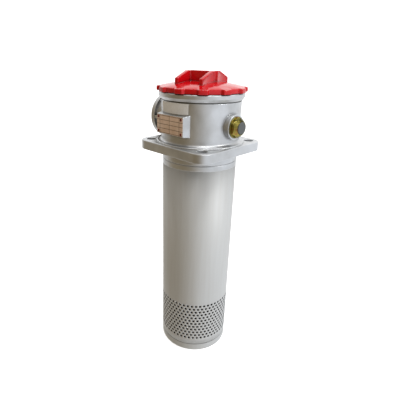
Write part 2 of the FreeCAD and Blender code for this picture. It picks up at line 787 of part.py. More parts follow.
def make_element_top_cap():
    """The moulded head of the element: flange on the ledge, cup and lifting bar."""
    body = new_body("element_top_cap")
    flange_edge = "chamber_radius - element_flange_gap"
    floor = MEDIA_TOP + " + element_floor_thick"
    seal_low = "ledge_height - element_skirt / 2 - ring_section / 2 - ring_gap"
    seal_high = "ledge_height - element_skirt / 2 + ring_section / 2 + ring_gap"
    turned(body, "top_cap", [
        ("element_cup_radius", ELEMENT_TOP),
        (flange_edge, ELEMENT_TOP),
        (flange_edge, "ledge_height"),
        (SKIRT_RADIUS, "ledge_height"),
        (SKIRT_RADIUS, seal_high),
        (SKIRT_RADIUS + " - ring_section", seal_high),
        (SKIRT_RADIUS + " - ring_section", seal_low),
        (SKIRT_RADIUS, seal_low),
        (SKIRT_RADIUS, MEDIA_TOP + " - element_cap_lip"),
        (SLEEVE_OUTER + " + fit_gap", MEDIA_TOP + " - element_cap_lip"),
        (SLEEVE_OUTER + " + fit_gap", MEDIA_TOP),
        ("element_opening_radius", MEDIA_TOP),
        ("element_opening_radius", floor),
        ("element_cup_radius", floor),
    ])
    leg = "element_opening_radius + element_bar_thick"
    arch = new_sketch(body, "lifting_bar_outline", "XZ_Plane")
    under = floor + " + element_bar_rise - element_bar_thick"
    outline(arch, [
        ("-(%s)" % leg, MEDIA_TOP + " + element_floor_thick / 2"),
        ("-element_opening_radius", MEDIA_TOP + " + element_floor_thick / 2"),
        ("-element_opening_radius", under),
        ("element_opening_radius", under),
        ("element_opening_radius", MEDIA_TOP + " + element_floor_thick / 2"),
        (leg, MEDIA_TOP + " + element_floor_thick / 2"),
        (leg, under),
        ("element_opening_radius", floor + " + element_bar_rise"),
        ("-element_opening_radius", floor + " + element_bar_rise"),
        ("-(%s)" % leg, under),
    ])
    bar = body.newObject("PartDesign::Pad", "lifting_bar")
    bar.Profile = arch
    bar.Midplane = True
    bar.setExpression("Length", bound("element_bar_width"))
    doc.recompute()
    return body


def make_media():
    """The pleated filter paper: a zigzag wall closed round the axis."""
    count = int(size("pleat_count"))
    outer, inner = size("media_outer_radius"), size("media_inner_radius")
    half_pitch = math.pi * (outer + inner) / 2 / count
    flank = math.hypot(half_pitch, outer - inner)
    shift = size("media_thick") * flank / half_pitch
    low, high = value(MEDIA_FOOT), value(MEDIA_TOP)

    def zigzag(tip, valley):
        points = []
        for step in range(2 * count + 1):
            radius = tip if step % 2 == 0 else valley
            angle = math.pi * step / count
            points.append(FreeCAD.Vector(radius * math.cos(angle), radius * math.sin(angle), low))
        return Part.Face(Part.makePolygon(points))

    ring = zigzag(outer, inner + shift).cut(zigzag(outer - shift, inner))
    return finished("pleated_media", ring.extrude(FreeCAD.Vector(0, 0, high - low)))


def make_sleeve():
    """The slotted steel sleeve that holds the pleats against the flow."""
    body = new_body("element_sleeve")
    turned(body, "sleeve_wall", [
        (SLEEVE_INNER, MEDIA_FOOT),
        (SLEEVE_OUTER, MEDIA_FOOT),
        (SLEEVE_OUTER, MEDIA_TOP),
        (SLEEVE_INNER, MEDIA_TOP),
    ])
    slots = new_sketch(body, "sleeve_slots_outline", "YZ_Plane")
    middle = "(%s + %s) / 2" % (MEDIA_FOOT, MEDIA_TOP)
    for row in range(int(size("sleeve_rows"))):
        centre = "%s + (%d - (sleeve_rows - 1) / 2) * sleeve_slot_pitch" % (middle, row)
        rectangle(slots, "-sleeve_slot_width / 2", "sleeve_slot_width / 2",
                  centre + " - sleeve_slot_height / 2", centre + " + sleeve_slot_height / 2")
    column = pocketed(body, "sleeve_slots_column", slots, "tube_radius", reverse=True)
    spread(body, "sleeve_slots_all_round", column, "sleeve_slots")
    return body


def make_element_bottom_cap():
    """The pressed foot of the element, with the bypass valve's seat."""
    body = new_body("element_bottom_cap")
    wall = SLEEVE_OUTER + " + fit_gap"
    turned(body, "bottom_cap", [
        ("seat_radius", CAP_PLATE_FOOT),
        (wall + " + element_cap_thick", CAP_PLATE_FOOT),
        (wall + " + element_cap_thick", MEDIA_FOOT + " + element_cap_lip"),
        (wall, MEDIA_FOOT + " + element_cap_lip"),
        (wall, MEDIA_FOOT),
        ("seat_radius", MEDIA_FOOT),
    ])
    return body


def make_poppet():
    """The bypass valve's disc and guide stem."""
    body = new_body("bypass_poppet")
    turned(body, "poppet", [
        ("0", POPPET_FOOT + " - stem_length"),
        ("stem_radius", POPPET_FOOT + " - stem_length"),
        ("stem_radius", POPPET_FOOT),
        ("poppet_radius", POPPET_FOOT),
        ("poppet_radius", CAP_PLATE_FOOT),
        ("0", CAP_PLATE_FOOT),
    ])
    return body


def make_cage():
    """The windowed cage under the element that guides the poppet."""
    body = new_body("bypass_cage")
    turned(body, "cage", [
        ("stem_radius + ring_gap / 2", CAGE_FOOT),
        ("cage_radius", CAGE_FOOT),
        ("cage_radius", CAP_PLATE_FOOT),
        ("cage_radius - cage_wall", CAP_PLATE_FOOT),
        ("cage_radius - cage_wall", CAGE_FOOT + " + cage_wall"),
        ("stem_radius + ring_gap / 2", CAGE_FOOT + " + cage_wall"),
    ])
    window = new_sketch(body, "window_outline", "YZ_Plane")
    half = "cage_radius * sin(cage_window_deg / 2)"
    rectangle(window, "-(%s)" % half, half, CAGE_FOOT + " + 2 * cage_wall", CAP_PLATE_FOOT + " - cage_wall")
    first = pocketed(body, "window", window, "cage_radius + 1", reverse=True)
    spread(body, "windows", first, "cage_windows")
    return body


def make_spring(label, coil_radius, wire, turns, low, high):
    """A coil spring between two heights, lofted through rings of its wire."""
    steps = int(size("coil_steps"))
    count = round(turns * steps)
    rise = high - low - wire
    rings = []
    for step in range(count + 1):
        angle = 2 * math.pi * step / steps
        around, along = math.cos(angle), math.sin(angle)
        height = low + wire / 2 + rise * step / count
        spot = FreeCAD.Vector(coil_radius * around, coil_radius * along, height)
        rings.append(Part.Wire(Part.makeCircle(wire / 2, spot, FreeCAD.Vector(-along, around, 0))))
    return finished(label, Part.makeLoft(rings, True, True))


def main():
    seal_seat = "tube_radius - tube_wall - ring_gap - ring_section / 2"
    pieces = [
        make_filter_head(),
        make_tube(),
        make_end_cap(),
        make_ring("tube_seal", seal_seat, "ring_section / 2", "-neck_length - spigot_length / 2"),
        make_screw_cap(),
        make_ring("cap_seal", CAP_SPIGOT + " - ring_section / 2 + ring_gap", "ring_section / 2",
                  CAP_SEAL_LOW + " + ring_section / 2 + ring_gap"),
        make_gauge_plug(),
        make_gauge_washer(),
        make_gauge_insert(),
        make_nameplate(),
        make_rivets(),
        make_label(),
        make_element_top_cap(),
        make_ring("element_seal", SKIRT_RADIUS + " - ring_section / 2 + ring_gap / 2", "ring_section / 2",
                  "ledge_height - element_skirt / 2"),
        make_media(),
        make_sleeve(),
        make_element_bottom_cap(),
        make_poppet(),
        make_cage(),
        make_spring("bypass_spring", size("bypass_coil_radius"), size("bypass_wire"), size("bypass_turns"),
                    value(CAGE_FOOT + " + cage_wall"), value(POPPET_FOOT + " - running_gap")),
        make_spring("hold_down_spring", size("hold_coil_radius"), size("hold_wire"), size("hold_turns"),
                    value(MEDIA_TOP + " + element_floor_thick"), value(CAP_CEILING + " - running_gap")),
    ]
    doc.recompute()
    for thing in doc.Objects:
        if "Invalid" in thing.State or "Error" in thing.State:
            raise RuntimeError("%s is %s" % (thing.Name, thing.State))
    for piece in pieces:
        if piece.Shape.isNull() or not piece.Shape.isValid():
            raise RuntimeError(piece.Label + " has no valid shape")
    os.makedirs("parts", exist_ok=True)
    for piece in pieces:
        piece.Shape.exportStep("parts/%s.step" % piece.Label)
        box = piece.Shape.BoundBox
        print(piece.Label, len(piece.Shape.Solids), "solid", round(piece.Shape.Volume), "mm3",
              "z %.1f to %.1f" % (box.ZMin, box.ZMax))


main()
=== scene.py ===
"""Dresses the return line filter: finishes for the CAD nodes and finer pieces
for the cap, the perforated tube, the nameplate, its rivets, the threads and the
bypass spring."""

import math

import bmesh
import bpy
from mathutils import Matrix, Vector


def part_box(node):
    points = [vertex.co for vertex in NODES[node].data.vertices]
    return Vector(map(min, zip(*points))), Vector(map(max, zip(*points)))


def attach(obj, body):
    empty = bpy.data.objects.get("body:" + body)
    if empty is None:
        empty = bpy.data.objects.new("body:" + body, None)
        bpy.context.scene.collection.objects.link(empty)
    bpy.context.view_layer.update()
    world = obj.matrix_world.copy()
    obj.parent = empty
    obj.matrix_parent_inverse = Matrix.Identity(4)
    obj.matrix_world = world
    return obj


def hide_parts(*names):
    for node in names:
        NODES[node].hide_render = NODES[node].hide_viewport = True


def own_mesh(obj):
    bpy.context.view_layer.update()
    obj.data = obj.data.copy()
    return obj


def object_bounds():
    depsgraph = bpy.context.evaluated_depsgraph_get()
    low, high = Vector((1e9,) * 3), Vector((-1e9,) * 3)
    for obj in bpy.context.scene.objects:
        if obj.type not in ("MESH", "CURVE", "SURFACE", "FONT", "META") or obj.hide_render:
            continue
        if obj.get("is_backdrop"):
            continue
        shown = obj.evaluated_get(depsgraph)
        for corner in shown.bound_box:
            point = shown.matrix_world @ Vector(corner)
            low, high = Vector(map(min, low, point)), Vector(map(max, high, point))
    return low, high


bl_info = {
    "name": "Return Line Filter",
    "version": (1, 0, 0),
    "blender": (4, 5, 0),
    "location": "View3D > Sidebar > Return Filter",
    "description": "Dresses the packed return line filter and sets up its stage",
    "category": "Object",
}

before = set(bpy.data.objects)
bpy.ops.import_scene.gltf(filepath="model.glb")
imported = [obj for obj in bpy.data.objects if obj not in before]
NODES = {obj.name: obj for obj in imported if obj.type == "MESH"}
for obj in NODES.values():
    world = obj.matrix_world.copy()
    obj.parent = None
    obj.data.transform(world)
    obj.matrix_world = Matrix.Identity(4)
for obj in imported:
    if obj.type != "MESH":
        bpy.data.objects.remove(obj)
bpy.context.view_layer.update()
MM = 0.001
TURN = 2 * math.pi
# Spots that are closer than this, in metres, are one
SAME = 1e-6

# The photograph's camera, fitted to the flange, the tube and the cap
CAMERA_PLACE = (0.3185, -0.3508, 0.1181)
CAMERA_YAW = math.radians(3.25 + 42.24)
CAMERA_PITCH = math.radians(21.29)
CAMERA_ROLL = math.radians(0.93)
CAMERA_LENS = 32.06
CAMERA_SHIFT = (0.052, -0.017)


def linear(hex_colour):
    """An sRGB hex value as linear RGBA."""
    parts = [int(hex_colour[i:i + 2], 16) / 255 for i in (0, 2, 4)]
    return tuple(p / 12.92 if p <= 0.04045 else ((p + 0.055) / 1.055) ** 2.4
                 for p in parts) + (1.0,)


def add_node(tree, kind, inputs=None, **settings):
    """Adds a node, sets its properties, and fills or links its sockets."""
    node = tree.nodes.new(kind)
    for name, value in settings.items():
        setattr(node, name, value)
    for socket, value in (inputs or {}).items():
        if isinstance(value, bpy.types.NodeSocket):
            tree.links.new(value, node.inputs[socket])
        else:
            node.inputs[socket].default_value = value
    return node


def new_material(name):
    """A node material that is still empty, and its Object coordinates."""
    material = bpy.data.materials.new(name)
    material.use_nodes = True
    tree = material.node_tree
    tree.nodes.clear()
    place = add_node(tree, "ShaderNodeTexCoord").outputs["Object"]
    return material, tree, place


def close_material(material, tree, sockets):
    """Ends a material in one Principled shader with the given sockets."""
    shader = add_node(tree, "ShaderNodeBsdfPrincipled", sockets)
    add_node(tree, "ShaderNodeOutputMaterial", {"Surface": shader.outputs[0]})
    return material


def mix(tree, factor, first, second, blend="MIX"):
    """Two colours mixed by a factor, each a hex value or a socket."""
    first = linear(first) if isinstance(first, str) else first
    second = linear(second) if isinstance(second, str) else second
    inputs = {0: factor, 6: first, 7: second}
    return add_node(tree, "ShaderNodeMix", inputs, data_type="RGBA", blend_type=blend).outputs[2]


def spread(tree, value, low, high, to_low=0.0, to_high=1.0):
    """A value taken from one range to another, and held at its ends."""
    inputs = {"Value": value, 1: low, 2: high, 3: to_low, 4: to_high}
    return add_node(tree, "ShaderNodeMapRange", inputs).outputs[0]


def noise(tree, place, scale, detail, distortion=0.0):
    """A grey noise; the scale is its cells in a metre."""
    inputs = {"Vector": place, "Scale": scale, "Detail": detail, "Distortion": distortion}
    return add_node(tree, "ShaderNodeTexNoise", inputs).outputs["Fac"]


def relief(tree, height, strength, distance, normal=None):
    """A normal bent by a small relief, over another normal if one is given."""
    inputs = {"Height": height, "Strength": strength, "Distance": distance}
    if normal is not None:
        inputs["Normal"] = normal
    return add_node(tree, "ShaderNodeBump", inputs).outputs[0]


def edge_wear_highlight_and_shade(tree, radius):
    """The normal rounded over edges, a mask of outer edges for a painted highlight with wear, and
    how open each spot is: 0 deep in a corner or groove, 1 on an open face; the finishes paint
    shade where it is low."""
    rounded = add_node(tree, "ShaderNodeBevel", {"Radius": radius}, samples=8).outputs[0]
    flat = add_node(tree, "ShaderNodeNewGeometry").outputs["Normal"]
    bend = add_node(tree, "ShaderNodeVectorMath", {0: rounded, 1: flat}, operation="DOT_PRODUCT")
    bent = spread(tree, bend.outputs["Value"], 0.99, 0.85)
    # Ambient occlusion, used to paint shade into corners and grooves
    reach = {"Distance": 6 * radius}
    shade = add_node(tree, "ShaderNodeAmbientOcclusion", reach, samples=8).outputs["AO"]
    open_share = spread(tree, shade, 0.35, 0.85)
    # Outer, open edges, where a painted highlight with wear goes
    edge_wear_and_highlight = add_node(tree, "ShaderNodeMath", {0: bent, 1: open_share}, operation="MULTIPLY")
    return rounded, edge_wear_and_highlight.outputs[0], open_share


def cast_aluminium():
    """Shot-blasted, silver-lacquered aluminium casting: satin, with a fine sandy grain that breaks
    the highlights and cloudy patches; painted shade darkens its corners and grooves, and a painted
    highlight with wear lightens its outer edges."""
    material, tree, place = new_material("shot_blasted_cast_aluminium")
    cloud = noise(tree, place, 45.0, 3.0)
    grain = noise(tree, place, 1100.0, 2.0)
    rounded, edge_wear_and_highlight, open_share = edge_wear_highlight_and_shade(tree, 0.9 * MM)
    sand = mix(tree, spread(tree, cloud, 0.35, 0.7), "C6C8CA", "B2B3B3")
    return close_material(material, tree, {
        # Painted shade (3E3B37) in corners and grooves, painted highlight with wear (E6E8EA) on
        # outer edges
        "Base Color": mix(tree, edge_wear_and_highlight, mix(tree, open_share, "3E3B37", sand), "E6E8EA"),
        "Metallic": 0.85,
        "Roughness": spread(tree, cloud, 0.0, 1.0, 0.32, 0.42),
        "Normal": relief(tree, grain, 0.22, 0.15 * MM, rounded)})


def blasted_tube():
    """Drawn tube, bead-blasted to an even pale satin, with faint streaks along
    its length."""
    material, tree, place = new_material("bead_blasted_drawn_tube")
    long_space = add_node(tree, "ShaderNodeMapping", {"Vector": place, "Scale": (1.0, 1.0, 0.05)})
    streaks = noise(tree, long_space.outputs[0], 220.0, 3.0)
    grain = noise(tree, place, 1400.0, 1.0)
    return close_material(material, tree, {
        "Base Color": mix(tree, spread(tree, streaks, 0.3, 0.7), "BEBFBE", "BABAB8"),
        "Metallic": 0.5,
        "Roughness": 0.55,
        "Normal": relief(tree, grain, 0.06, 0.08 * MM)})


def red_nylon():
    """Moulded nylon: deep glossy red with a soft orange-peel skin; a painted highlight with wear
    lightens its edges, and painted shade darkens its corners and recesses."""
    material, tree, place = new_material("glossy_red_nylon")
    peel = noise(tree, place, 320.0, 1.0)
    bloom = noise(tree, place, 60.0, 2.0)
    rounded, edge_wear_and_highlight, open_share = edge_wear_highlight_and_shade(tree, 0.7 * MM)
    skin = mix(tree, bloom, "C60914", "B40710")
    return close_material(material, tree, {
        # Painted shade (58040A) in corners and recesses, painted highlight with wear (E0484C) on
        # outer edges
        "Base Color": mix(tree, edge_wear_and_highlight, mix(tree, open_share, "58040A", skin), "E0484C"),
        "Roughness": 0.13,
        "IOR": 1.4,
        "Normal": relief(tree, peel, 0.05, 0.3 * MM, rounded)})


def yellow_zinc():
    """Yellow-passivated zinc plate: polished metal whose film drifts between
    straw, olive and rose."""
    material, tree, place = new_material("yellow_passivated_zinc")
    drift = noise(tree, place, 95.0, 2.0, 0.6)
    straw = mix(tree, spread(tree, drift, 0.35, 0.55), "403B14", "9C914A")
    return close_material(material, tree, {
        "Base Color": mix(tree, spread(tree, drift, 0.55, 0.68), straw, "8C5C3C"),
        "Metallic": 1.0,
        "Roughness": 0.17,
        "Normal": add_node(tree, "ShaderNodeBevel", {"Radius": 0.6 * MM}, samples=8).outputs[0]})


def etched_plate():
    """Etched aluminium nameplate with a warm lacquer; its empty table of ruled
    lines is filled with dark brown ink."""
    material, tree, place = new_material("etched_nameplate_lacquer")
    centre = (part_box("nameplate")[0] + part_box("nameplate")[1]) / 2
    flat = add_node(tree, "ShaderNodeMapping", {
        "Vector": place, "Location": (-centre.x, -centre.z, 0.0),
        "Rotation": (math.radians(-90), 0.0, 0.0)})
    table = add_node(tree, "ShaderNodeTexBrick", {
        "Vector": flat.outputs[0], "Scale": 1.0,
        "Brick Width": 17.0 * MM, "Row Height": 5.2 * MM,
        "Mortar Size": 0.3 * MM, "Mortar Smooth": 0.2,
        "Color1": linear("E4CDBA"), "Color2": linear("DEC5B0"), "Mortar": linear("5A4638"),
    }, offset=0.0, squash=1.0)
    tarnish = mix(tree, noise(tree, place, 130.0, 3.0), "FFFFFF", "DCCFC4")
    return close_material(material, tree, {
        "Base Color": mix(tree, 1.0, table.outputs["Color"], tarnish, "MULTIPLY"),
        "Metallic": 0.35,
        "Roughness": 0.38})


def plain_finish(name, tones, scale, bump, sockets, edge=""):
    """A finish of two close tones in a grain of a given scale, with its relief and, where an edge
    colour is given, with a painted highlight making its edges paler."""
    material, tree, place = new_material(name)
    grain = noise(tree, place, scale, 2.0)
    colour = mix(tree, grain, *tones)
    if edge:
        # Painted highlight: the edge colour on outer, open edges
        colour = mix(tree, edge_wear_highlight_and_shade(tree, 0.7 * MM)[1], colour, edge)
    return close_material(material, tree, {
        "Base Color": colour, "Normal": relief(tree, grain, 0.3, bump), **sockets})


def spring_wire():
    """Oiled spring wire: dark steel with a slight sheen along the wire."""
    return plain_finish("oiled_spring_wire", ("6E6F72", "57585B"), 500.0, 0.01 * MM,
                        {"Metallic": 1.0, "Roughness": 0.35})


def machined_aluminium():
    """Cut aluminium, as in a threaded bore: bright, with a fine grain."""
    return plain_finish("machined_aluminium", ("C4C6C8", "B4B6B8"), 1500.0, 0.01 * MM,
                        {"Metallic": 0.95, "Roughness": 0.3})


def geometry(maker):
    """All that a bmesh holds."""
    return list(maker.verts) + list(maker.edges) + list(maker.faces)


def only_verts(items):
    """The vertices among a bmesh operator's results."""
    return [item for item in items if isinstance(item, bmesh.types.BMVert)]


def inside(items, verts):
    """The edges or faces whose corners all belong to a set of vertices."""
    return [item for item in items if all(vert in verts for vert in item.verts)]


def round_edges(maker, edges, radius, segments, clamp=False):
    """Rounds edges, and returns the vertices that this makes."""
    made = bmesh.ops.bevel(maker, geom=edges, offset=radius, segments=segments, profile=0.5,
                           affect="EDGES", material=-1, offset_type="OFFSET",
                           clamp_overlap=clamp)
    return set(made["verts"])


def turn_about(maker, verts, angle, axis):
    """Turns vertices about an axis through the origin."""
    bmesh.ops.rotate(maker, verts=verts, cent=(0, 0, 0), matrix=Matrix.Rotation(angle, 3, axis))


def spun(maker, outline, steps, closed=True):
    """Spins an outline of (radius, height) in metres about the Z axis."""
    verts = [maker.verts.new((radius, 0.0, height)) for radius, height in outline]
    pairs = list(zip(verts, verts[1:])) + ([(verts[-1], verts[0])] if closed else [])
    edges = [maker.edges.new(pair) for pair in pairs]
    bmesh.ops.spin(maker, geom=verts + edges, cent=(0, 0, 0), axis=(0, 0, 1), dvec=(0, 0, 0),
                   angle=TURN, steps=steps, use_merge=True)
    bmesh.ops.remove_doubles(maker, verts=maker.verts, dist=SAME)


def finish_piece(maker, name, material, body, replaced=()):
    """Turns a bmesh into a piece that rides on a body and takes a finish."""
    bmesh.ops.recalc_face_normals(maker, faces=maker.faces)
    mesh = bpy.data.meshes.new(name)
    maker.to_mesh(mesh)
    maker.free()
    mesh.shade_smooth()
    mesh.set_sharp_from_angle(angle=math.radians(35))
    mesh.materials.append(material)
    piece = bpy.data.objects.new(name, mesh)
    bpy.context.scene.collection.objects.link(piece)
    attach(piece, body)
    if replaced:
        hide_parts(*replaced)
    return piece


def dress(nodes, material):
    """Gives CAD nodes their finish."""
    for name in nodes:
        slots = NODES[name].data.materials
        slots.clear()
        slots.append(material)


class ScrewCapSizes(bpy.types.PropertyGroup):
    lobe_count: bpy.props.IntProperty(
        name="Lobes", description="Gripping lobes round the rim", default=12, min=3)
    lobe_width: bpy.props.FloatProperty(
        name="Lobe Width", description="How far one lobe reaches round the rim",
        default=math.radians(12.5), subtype="ANGLE")
    root: bpy.props.FloatProperty(
        name="Root", description="Radius of the rim between its lobes",
        default=54.5 * MM, unit="LENGTH")
    lobe_flank: bpy.props.FloatProperty(
        name="Lobe Flank", description="How far one sloped flank of a lobe reaches round the rim",
        default=math.radians(2.2), subtype="ANGLE")
    lobe_step: bpy.props.FloatProperty(
        name="Lobe Step", description="How far the lobes stand out",
        default=3.5 * MM, unit="LENGTH")
    turn: bpy.props.FloatProperty(
        name="Turn", description="Where the first lobe and the grip point",
        default=math.radians(13.7), subtype="ANGLE")
    grip_edge: bpy.props.FloatProperty(
        name="Grip Edge", description="Rounding of the grip's edges",
        default=0.7 * MM, unit="LENGTH")


class TubeSizes(bpy.types.PropertyGroup):
    holes_around: bpy.props.IntProperty(
        name="Holes Around", description="Holes in one row of the diffuser", default=52, min=8)
    rows: bpy.props.IntProperty(name="Rows", description="Rows of holes", default=12, min=1)
    row_pitch: bpy.props.FloatProperty(
        name="Row Pitch", description="Height between two rows",
        default=5.21 * MM, unit="LENGTH")
    bottom_row: bpy.props.FloatProperty(
        name="Bottom Row", description="Height of the lowest row",
        default=-281.4 * MM, unit="LENGTH")
    hole: bpy.props.FloatProperty(
        name="Hole", description="Diameter of a hole", default=3.4 * MM, unit="LENGTH")
    phase: bpy.props.FloatProperty(
        name="Phase", description="Where the top row's first hole stands",
        default=math.radians(-86.0), subtype="ANGLE")
    wall: bpy.props.FloatProperty(
        name="Wall", description="Thickness of the tube", default=2.5 * MM, unit="LENGTH")


class StageLook(bpy.types.PropertyGroup):
    floor_colour: bpy.props.FloatVectorProperty(
        name="Floor", description="Colour of the floor", default=linear("F4F4F4")[:3],
        subtype="COLOR", size=3, min=0.0, max=1.0)
    key_power: bpy.props.FloatProperty(
        name="Key Light", description="Power of the large light on the right",
        default=9.5, unit="POWER")


class FILTER_OT_finishes(bpy.types.Operator):
    """Give every CAD node that still shows its own finish"""
    bl_idname = "return_filter.finishes"
    bl_label = "Finishes"

    def execute(self, context):
        dress(["filter_head"], cast_aluminium())
        dress(["tube_end_cap"], blasted_tube())
        dress(["gauge_plug", "gauge_plug_washer"], yellow_zinc())
        # Moulded nylon in charcoal: a dull, lightly grained face
        dress(["gauge_plug_cap"], plain_finish(
            "charcoal_moulded_nylon", ("505352", "424544"), 700.0, 0.03 * MM,
            {"Roughness": 0.5, "IOR": 1.5}))
        # Coated paper with a faint fibre, dull and a little yellowed; its edges get a painted
        # highlight
        dress(["paper_label"], plain_finish(
            "off_white_label_paper", ("DCDAD6", "D0CECA"), 400.0, 0.03 * MM,
            {"Roughness": 0.75, "IOR": 1.45}, edge="F6F6F4"))
        # Nitrile rubber: black and matt with a soft sheen
        dress(["tube_seal", "cap_seal", "element_seal"], plain_finish(
            "nitrile_rubber", ("1B1B1C", "232324"), 300.0, 0.02 * MM,
            {"Roughness": 0.55, "IOR": 1.5}))
        # Glass-filled nylon of the element's head: black, a fine grain
        dress(["element_top_cap"], plain_finish(
            "glass_filled_nylon", ("202124", "2A2B2E"), 600.0, 0.04 * MM,
            {"Roughness": 0.45, "IOR": 1.53}))
        # Resin-bonded glass fibre media: cream white, felted
        dress(["pleated_media"], plain_finish(
            "glass_fibre_media", ("E2DCCB", "D3CBB6"), 900.0, 0.08 * MM,
            {"Roughness": 0.9, "IOR": 1.4}))
        # Zinc-plated strip of the sleeve and the pressed foot: cold, faintly spangled
        dress(["element_sleeve", "element_bottom_cap"], plain_finish(
            "zinc_plated_strip", ("C7CACC", "AEB2B5"), 180.0, 0.01 * MM,
            {"Metallic": 0.95, "Roughness": 0.32}))
        # Turned free-cutting steel of the bypass valve
        dress(["bypass_poppet", "bypass_cage"], plain_finish(
            "turned_valve_steel", ("B3B4B4", "9FA0A1"), 800.0, 0.01 * MM,
            {"Metallic": 0.95, "Roughness": 0.3}))
        dress(["hold_down_spring"], spring_wire())
        return {"FINISHED"}


class FILTER_OT_tube(bpy.types.Operator):
    """Model the immersion tube with all the round holes of its diffuser"""
    bl_idname = "return_filter.tube"
    bl_label = "Perforated Tube"

    def execute(self, context):
        sizes = context.scene.return_filter_tube
        low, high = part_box("immersion_tube")
        maker = bmesh.new()
        self.diffuser(maker, sizes, high.x)
        lowest = sizes.bottom_row - sizes.row_pitch / 2
        highest = lowest + sizes.rows * sizes.row_pitch
        self.extend(maker, lowest, low.z)
        self.extend(maker, highest, high.z)
        piece = finish_piece(maker, "perforated_tube", blasted_tube(), "head",
                             ["immersion_tube"])
        wall = piece.modifiers.new("wall", "SOLIDIFY")
        wall.thickness = sizes.wall
        wall.offset = -1.0
        # The bore and the holes' walls are painted near-black brown, painted shade standing for
        # the dark inside of the tube
        piece.data.materials.append(plain_finish(
            "painted_shade_bore", ("1B1714", "120F0D"), 250.0, 0.02 * MM,
            {"Metallic": 0.4, "Roughness": 0.6}))
        wall.material_offset = wall.material_offset_rim = 1
        return {"FINISHED"}

    def diffuser(self, maker, sizes, radius):
        """All rows of holes, each turned by half a step from the one below."""
        step = TURN / sizes.holes_around
        self.cell(maker, sizes, radius, step)
        bmesh.ops.spin(maker, geom=geometry(maker), cent=(0, 0, 0), axis=(0, 0, 1),
                       dvec=(0, 0, 0), angle=TURN, steps=sizes.holes_around,
                       use_duplicate=True, use_merge=True)
        bmesh.ops.remove_doubles(maker, verts=maker.verts, dist=SAME)
        first = geometry(maker)
        for row in range(1, sizes.rows):
            verts = only_verts(bmesh.ops.duplicate(maker, geom=first)["geom"])
            turn_about(maker, verts, step / 2 * (row % 2), "Z")
            bmesh.ops.translate(maker, verts=verts, vec=(0, 0, row * sizes.row_pitch))
        bmesh.ops.remove_doubles(maker, verts=maker.verts, dist=2 * SAME)

    def cell(self, maker, sizes, radius, step):
        """One hole in its share of the wall, laid on the tube at the lowest row."""
        wide, tall = step * radius, sizes.row_pitch
        hole = bmesh.ops.create_circle(maker, segments=12, radius=sizes.hole / 2,
                                       cap_ends=False)["verts"]
        spots = [(-wide / 2, -tall / 2), (0, -tall / 2), (wide / 2, -tall / 2),
                 (wide / 2, tall / 2), (0, tall / 2), (-wide / 2, tall / 2)]
        border = [maker.verts.new((x, y, 0.0)) for x, y in spots]
        for one, other in zip(border, border[1:] + border[:1]):
            maker.edges.new((one, other))
        bmesh.ops.triangle_fill(maker, edges=list(maker.edges), use_beauty=True,
                                use_dissolve=False)
        start = sizes.phase - step / 2 * ((sizes.rows - 1) % 2)
        for vert in hole + border:
            angle = start + vert.co.x / radius
            vert.co = Vector((radius * math.cos(angle), radius * math.sin(angle),
                              sizes.bottom_row + vert.co.y))

    def extend(self, maker, height, target):
        """Draws the plain wall from the open rim at one height to another."""
        rim = [e for e in maker.edges if e.is_boundary
               and all(abs(v.co.z - height) < SAME for v in e.verts)]
        for vert in only_verts(bmesh.ops.extrude_edge_only(maker, edges=rim)["geom"]):
            vert.co.z = target


